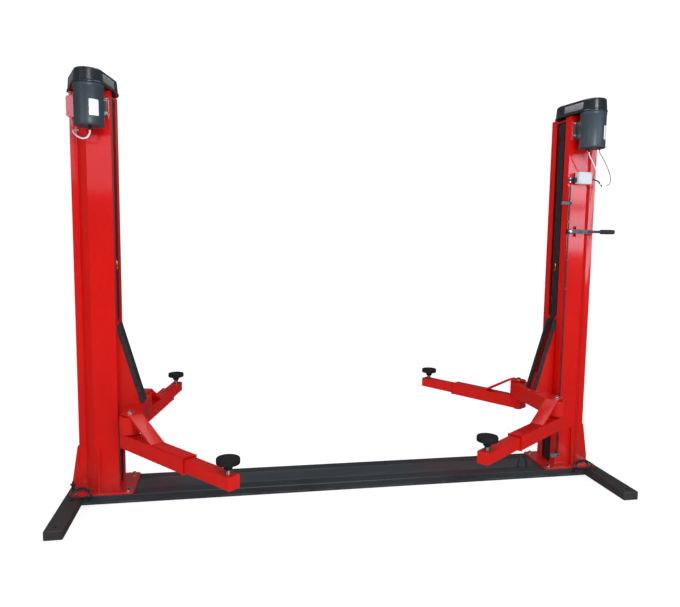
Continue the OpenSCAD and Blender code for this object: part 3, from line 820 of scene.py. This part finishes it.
# ---------------------------------------------------------------- carriages
PIN_R = 0.02000
def car_rule(e):
    d = edir(e)
    c = (e.verts[0].co + e.verts[1].co) / 2
    ax = abs(c.x)
    if ax < 1.4165 and d.z < 0.01 and (abs(c.z - 0.470) < 0.0005 or abs(c.z - 0.575) < 0.0005) and convex(e):
        rr = math.hypot(ax - 1.356, max(0.0, abs(c.y) - 0.266))
        if rr > 0.0585:
            return 0.005
    return 0.0008


for s, sx in (("left", -1), ("right", 1)):
    soften(s + "_carriage", s + "_carriage", RED_ARM, car_rule, seg=3, ang=28)
    soften(s + "_edge_rubbers", s + "_carriage", EDGE, plain_rule(0.0016), seg=2)
    pins = soften(s + "_arm_pins", s + "_carriage", ZINC, plain_rule(0.0010), seg=2, ang=28)
    # the shanks turn in faceted bores, so they are a hair thinner here
    for v in pins.data.vertices:
        qx, qy = v.co.x - sx * 1.356, v.co.y - math.copysign(0.266, v.co.y)
        r = math.hypot(qx, qy)
        if PIN_R - 0.0004 < r < PIN_R + 0.0004:
            k = (PIN_R - 0.0007) / r
            v.co.x, v.co.y = sx * 1.356 + qx * k, math.copysign(0.266, v.co.y) + qy * k
    w = Builder()
    for y in (-0.050, -0.0425, 0.0425, 0.050):
        w.weld(mx(sx, (1.302, y, 0.5762)), mx(sx, (1.414, y, 0.5762)), 0.0032, seed=y)
    for y in (-0.0495, 0.0495):
        w.weld(mx(sx, (1.4165, y, 0.480)), mx(sx, (1.4165, y, 0.572)), 0.003, seed=y)
    w.make(s + "_carriage_welds", s + "_carriage", RED_ARM)


# --------------------------------------------------------------------- arms
ANG = {"left_front": (-1, -1, 50.7, 0.938), "right_front": (1, -1, 37.1, 0.955), "left_rear": (-1, 1, 79.0, 0.845), "right_rear": (1, 1, 56.6, 0.890)}
PX, PY = 1.356, 0.266
BZ1, BZ0 = 0.464, 0.378
IZ1, IZ0 = 0.457, 0.385
OL = 0.577
PADZ = IZ1 + 0.046


def arm_matrix(k):
    sx, f, a, e = ANG[k]
    th = math.radians(180 - f * a)
    M = Matrix.Translation((PX, f * PY, 0)) @ Matrix.Rotation(th, 4, "Z")
    if sx < 0:
        M = Matrix.Diagonal((-1, 1, 1, 1)) @ M
    return M


def arm_rule(k):
    Mi = arm_matrix(k).inverted()

    def rule(e):
        a, c = Mi @ e.verts[0].co, Mi @ e.verts[1].co
        d = c - a
        L = d.length
        mid = (a + c) / 2
        if L < 0.008:
            return 0.0006
        if abs(d.x) / L > 0.999 and L > 0.3 and abs(abs(mid.y) - 0.043) < 0.0005 and (abs(mid.z - BZ1) < 5e-4 or abs(mid.z - BZ0) < 5e-4):
            return 0.006
        if abs(d.x) / L > 0.999 and L > 0.3 and abs(abs(mid.y) - 0.036) < 0.0005 and (abs(mid.z - IZ1) < 5e-4 or abs(mid.z - IZ0) < 5e-4):
            return 0.006
        if mid.z > 0.572 or (mid.z > BZ1 + 0.006):
            return 0.0015
        return 0.0010
    return rule


for k, (sx, f, a, e) in ANG.items():
    M = arm_matrix(k)
    arm, ext, pad = k + "_arm", k + "_arm_extension", k + "_pad"
    soften(k + "_arm_outer", arm, RED_ARM, arm_rule(k), seg=3, ang=28)
    soften(k + "_arm_inner", ext, RED_ARM, arm_rule(k), seg=3, ang=28)
    w = Builder()

    def W(x, y, z):
        return M @ Vector((x, y, z))
    for y in (-0.0415, 0.0415):
        w.weld(W(0.262, y, BZ1 + 0.001), W(0.286, y, BZ1 + 0.001), 0.0035, seed=y)
    w.weld(W(0.285, -0.037, BZ1 + 0.0055), W(0.285, 0.037, BZ1 + 0.0055), 0.0042, seed=1)
    for y in (-0.0375, 0.0375):
        for x0, x1 in ((0.30, 0.35), (0.40, 0.45), (0.50, 0.55)):
            w.weld(W(x0, y, BZ1 + 0.001), W(x1, y, BZ1 + 0.001), 0.003, seed=x0)
    w.make(k + "_arm_welds", arm, RED_ARM)
    # pad and its screw
    c = Matrix.Translation(M @ Vector((e - 0.045, 0, 0)))
    b = Builder()
    z = PADZ
    prof = [(0, z - 0.0205), (0.0155, z - 0.0205), (0.0185, z - 0.0220), (0.0200, z - 0.0215), (0.0225, z - 0.0180), (0.0250, z - 0.0080), (0.0275, z - 0.0005), (0.032, z + 0.0020), (0.046, z + 0.0032),
            (0.0550, z + 0.0040), (0.0578, z + 0.0055), (0.0592, z + 0.0080), (0.0597, z + 0.0115), (0.0597, z + 0.0160), (0.0590, z + 0.0168), (0.0590, z + 0.0176), (0.0597, z + 0.0184), (0.0597, z + 0.0280),
            (0.0590, z + 0.0315), (0.0572, z + 0.0338), (0.0545, z + 0.0348), (0.0480, z + 0.0348), (0.0465, z + 0.0340), (0.0455, z + 0.0322), (0.0440, z + 0.0318), (0.030, z + 0.0318), (0.0285, z + 0.0330), (0.0265, z + 0.0330), (0.0250, z + 0.0318), (0, z + 0.0318)]
    b.lathe(prof, 96, c)
    b.make(k + "_pad_form", pad, RUBBER, k + "_pad", ang=50)
    b = Builder()
    # threaded stem: a helical rib on a core
    n, pitch = 40, 0.005
    zb, zt = IZ0 + 0.001, PADZ - 0.024
    rows = int((zt - zb) / (pitch / 8))
    V, F = [], []
    for i in range(rows + 1):
        zz = zb + (zt - zb) * i / rows
        for q in range(n):
            an = 2 * math.pi * q / n
            ph = ((zz - zb) / pitch - q / n) % 1.0
            rr = 0.0137 + 0.0013 * min(1.0, max(0.0, 1.6 - abs(ph - 0.5) * 4.8))
            if zz > zt - 0.004 or zz < zb + 0.002:
                rr = 0.0137
            V.append((rr * math.cos(an), rr * math.sin(an), zz))
    for i in range(rows):
        for q in range(n):
            a0, b0 = i * n + q, i * n + (q + 1) % n
            F.append([a0, b0, b0 + n, a0 + n])
    F.append(list(reversed(range(n))))
    F.append(list(range(rows * n, rows * n + n)))
    b.add(V, F, c)
    b.lathe([(0, zt - 0.001), (0.0148, zt - 0.001), (0.0148, PADZ), (0, PADZ)], 40, c)
    b.make(k + "_pad_stem", pad, PADSTEEL, k + "_pad_screw", ang=40)

soften("base_plate_bolts", "root", ZINC, plain_rule(0.001), seg=2, ang=28)

# brass stop on each belt
b = Builder()
for sx in (-1, 1):
    V = []
    b.rbox((min(sx * 1.4495, sx * 1.4565), -0.011, 1.408), (max(sx * 1.4495, sx * 1.4565), 0.011, 1.470), 0.003)
    b.dome((sx * 1.4497, 0, 1.455), (-sx, 0, 0), 0.006, 0.0035)
    b.dome((sx * 1.4497, 0, 1.422), (-sx, 0, 0), 0.006, 0.0035)
b.make("belt_stops", "root", BRASS)


# ------------------------------------------------------------------- leads
def catmull(P, k):
    P = [Vector(p) * 0.001 for p in P]
    n = len(P) - 1
    out = []
    for i in range(n):
        a, b2, c2, d2 = P[max(i - 1, 0)], P[i], P[min(i + 1, n)], P[min(i + 2, n)]
        for j in range(k):
            u = j / k
            out.append(0.5 * (2 * b2 + (c2 - a) * u + (2 * a - 5 * b2 + 4 * c2 - d2) * u * u + (3 * b2 - a - 3 * c2 + d2) * u ** 3))
    out.append(P[n])
    return out


LEAD_R = [[1526, -225, 2203], [1532, -225, 2180], [1556, -224, 2142], [1582, -221, 2098], [1607, -215, 2055], [1630, -206, 2015], [1650, -190, 1992], [1663, -170, 1998], [1653, -154, 2020], [1634, -148, 2033], [1586, -147, 2038]]
WIRE_R = [[1606, -215, 2219], [1610, -215, 2203], [1632, -215, 2172], [1661, -214, 2128], [1688, -212, 2078], [1703, -209, 2034], [1699, -206, 2006], [1680, -204, 1993]]
LEAD_L = [[-1540, -240, 2203], [-1542, -239, 2186], [-1556, -230, 2167], [-1582, -210, 2162], [-1612, -180, 2172], [-1640, -148, 2192], [-1657, -122, 2214], [-1650, -94, 2226], [-1638, -70, 2230]]
LOOP_R = [[1574, -170, 32], [1568, -189, 40], [1558, -197, 64], [1566, -190, 92], [1596, -178, 108], [1638, -172, 110], [1676, -176, 98], [1697, -184, 80], [1690, -196, 66], [1660, -199, 62], [1620, -199, 62], [1586, -196, 68], [1578, -186, 84], [1600, -172, 96], [1640, -164, 98], [1672, -168, 88], [1684, -182, 70], [1684, -188, 55]]
LOOP_L = [[-1620, -170, 32], [-1610, -189, 42], [-1598, -195, 66], [-1600, -190, 92], [-1620, -180, 110], [-1660, -174, 114], [-1698, -178, 104], [-1718, -186, 84], [-1712, -198, 68], [-1686, -201, 64], [-1650, -200, 64], [-1622, -197, 70], [-1614, -186, 84], [-1630, -172, 98], [-1662, -164, 101], [-1690, -168, 92], [-1702, -182, 74], [-1700, -190, 55]]
HOOP = [[1262, -85, 54], [1261, -85, 74], [1252, -85, 104], [1232, -85, 124], [1212, -86, 118], [1200, -87, 94], [1196, -87, 70], [1195, -87, 54]]


def lead(name, node, P, dia, mat):
    q = catmull(P, 6)
    b = Builder()
    b.sweep(q, dia / 2, 14)
    ob = b.make(name, "root", mat, node, ang=60)
    return q


q = catmull(LEAD_R, 6)
n0 = int(len(q) * 0.56)
tp = Builder()
seg = q[n0:]
tp.sweep(seg, [0.0040 if i in (0, len(seg) - 1) else 0.0044 + 0.0003 * math.sin(i * 2.1) for i in range(len(seg))], 14)
tp_ob = tp.make("right_lead_tape", "root", BLKPL)
lead("right_motor_sleeve", "right_motor_lead", LEAD_R, 0.007, WHITEPVC)
lead("right_motor_brown", "right_motor_wire", WIRE_R, 0.0045, BROWNPVC)
lead("left_motor_sleeve", "left_motor_lead", LEAD_L, 0.009, WHITEPVC)
lead("right_foot_cable", "right_cable_loop", LOOP_R, 0.010, BLKPL)
lead("left_foot_cable", "left_cable_loop", LOOP_L, 0.010, BLKPL)
lead("base_hoop", "base_cable_hoop", HOOP, 0.008, BLKPL)

b = Builder()
for gx, gy in ((1.526, -0.225), (-1.540, -0.240)):
    mt = Matrix.Translation((gx, gy, 0))
    b.lathe([(0, 2.2035), (0.0062, 2.2035), (0.0068, 2.2042), (0.0086, 2.2125), (0.0088, 2.2135), (0, 2.2135)], 30, mt)
    V = [((0.0112) * math.cos(k * math.pi / 3), 0.0112 * math.sin(k * math.pi / 3), z) for z in (2.2130, 2.2260) for k in range(6)]
    b.add(V, [[5, 4, 3, 2, 1, 0], [6, 7, 8, 9, 10, 11]] + [[k, (k + 1) % 6, (k + 1) % 6 + 6, k + 6] for k in range(6)], mt)
b.lathe([(0, 2.2190), (0.0045, 2.2190), (0.0050, 2.2196), (0.0050, 2.2262), (0, 2.2262)], 24, Matrix.Translation((1.606, -0.215, 0)))
pm = Matrix.Translation((-1.725, -0.092, 0))
b.lathe([(0, PZ), (0.0100, PZ), (0.0100, PZ + 0.006), (0.0090, PZ + 0.007), (0.0090, PZ + 0.028), (0.0098, PZ + 0.030), (0.0098, PZ + 0.0355), (0, PZ + 0.0355)], 30, pm)
b.rbox((-0.016, -0.007, PZ + 0.034), (0.016, 0.007, PZ + 0.0430), 0.002, pm)
b.lathe([(0, PZ + 0.0425), (0.0068, PZ + 0.0425), (0.0068, PZ + 0.054), (0.0060, PZ + 0.056), (0.0050, PZ + 0.0575), (0, PZ + 0.058)], 24, pm)
b.make("cable_fittings_form", "root", BLKPL, "cable_fittings")


# --------------------------------------------------------- floor and light
def stage_plane():
    me = bpy.data.meshes.new("floor_mesh")
    s = 14
    me.from_pydata([(-s, -s, 0), (s, -s, 0), (s, s, 0), (-s, s, 0)], [], [[0, 1, 2, 3]])
    ob = bpy.data.objects.new("floor", me)
    SC.collection.objects.link(ob)
    mt = bpy.data.materials.new("pale_floor")
    mt.use_nodes = True
    bs = mt.node_tree.nodes["Principled BSDF"]
    bs.inputs["Base Color"].default_value = (0.55, 0.55, 0.55, 1)
    bs.inputs["Roughness"].default_value = 0.9
    bs.inputs["Specular IOR Level"].default_value = 0.0
    bs.inputs["Emission Color"].default_value = (1, 1, 1, 1)
    fn = mt.node_tree
    fc = fn.nodes.new("ShaderNodeTexCoord")
    fl = fn.nodes.new("ShaderNodeVectorMath")
    fl.operation = "LENGTH"
    fn.links.new(fc.outputs["Object"], fl.inputs[0])
    fm = fn.nodes.new("ShaderNodeMapRange")
    for k, v in (("From Min", 1.8), ("From Max", 7.5), ("To Min", 0.72), ("To Max", 0.99)):
        fm.inputs[k].default_value = v
    fn.links.new(fl.outputs["Value"], fm.inputs["Value"])
    fn.links.new(fm.outputs[0], bs.inputs["Emission Strength"])
    me.materials.append(mt)
    ob.visible_glossy = False


stage_plane()
world = bpy.data.worlds.new("studio")
SC.world = world
world.use_nodes = True
nt = world.node_tree
bg = nt.nodes["Background"]
out = nt.nodes["World Output"]
tc = nt.nodes.new("ShaderNodeTexCoord")
sp = nt.nodes.new("ShaderNodeSeparateXYZ")
nt.links.new(tc.outputs["Generated"], sp.inputs[0])
rp = nt.nodes.new("ShaderNodeValToRGB")
els = rp.color_ramp.elements
els[0].position, els[0].color = 0.44, (0.024, 0.025, 0.028, 1)
els[1].position, els[1].color = 0.85, (0.16, 0.172, 0.19, 1)
mr = nt.nodes.new("ShaderNodeMapRange")
mr.inputs["From Min"].default_value = -1
mr.inputs["From Max"].default_value = 1
nt.links.new(sp.outputs["Z"], mr.inputs["Value"])
nt.links.new(mr.outputs[0], rp.inputs["Fac"])
nt.links.new(rp.outputs["Color"], bg.inputs["Color"])
bg.inputs["Strength"].default_value = 1.0
white = nt.nodes.new("ShaderNodeBackground")
white.inputs["Color"].default_value = (1, 1, 1, 1)
white.inputs["Strength"].default_value = 1.05
lp = nt.nodes.new("ShaderNodeLightPath")
ms = nt.nodes.new("ShaderNodeMixShader")
nt.links.new(lp.outputs["Is Camera Ray"], ms.inputs[0])
nt.links.new(bg.outputs[0], ms.inputs[1])
nt.links.new(white.outputs[0], ms.inputs[2])
nt.links.new(ms.outputs[0], out.inputs["Surface"])


def area(name, loc, target, size, power, size_y=None, color=(1, 1, 1)):
    d = bpy.data.lights.new(name, "AREA")
    d.energy = power
    d.color = color
    d.size = size
    if size_y:
        d.shape = "RECTANGLE"
        d.size_y = size_y
    o = bpy.data.objects.new(name, d)
    SC.collection.objects.link(o)
    o.location = loc
    o.rotation_euler = (Vector(target) - Vector(loc)).to_track_quat("-Z", "Y").to_euler()
    return o


area("key", (0.5, -6.5, 3.9), (0, 0, 1.2), 2.5, 225, 1.5)
area("fill_left", (-5.0, -4.0, 3.0), (-1.0, 0, 1.0), 2.0, 34, 2.0, (0.94, 0.97, 1.0))
for row, (wz, wh, wr, wl) in enumerate(((1.85, 0.75, 13.0, 0.0), (2.80, 0.85, 17.0, 3.0), (3.80, 0.85, 15.0, 15.0))):
    for k in range(3):
        area("pane_right_%d%d" % (row, k), (4.3 + 1.35 * k, -7.0, wz), (1.5, 0, 1.9), 1.05, wr, wh, (0.60, 0.84, 1.0))
    if wl:
        for k in range(2):
            area("pane_left_%d%d" % (row, k), (-4.3 + 1.3 * k, -7.0, wz), (-1.5, 0, 2.0), 1.0, wl, wh, (0.70, 0.84, 1.0))
area("side_left", (-6.0, 1.5, 2.8), (-1.5, 0, 2.0), 1.5, 60, 3.0).visible_glossy = False
area("top", (0, 0.4, 5.2), (0, 0, 0), 4.0, 95, 3.0)
SC.view_settings.view_transform = "Standard"
SC.view_settings.look = "None"
SC.view_settings.exposure = 0.0
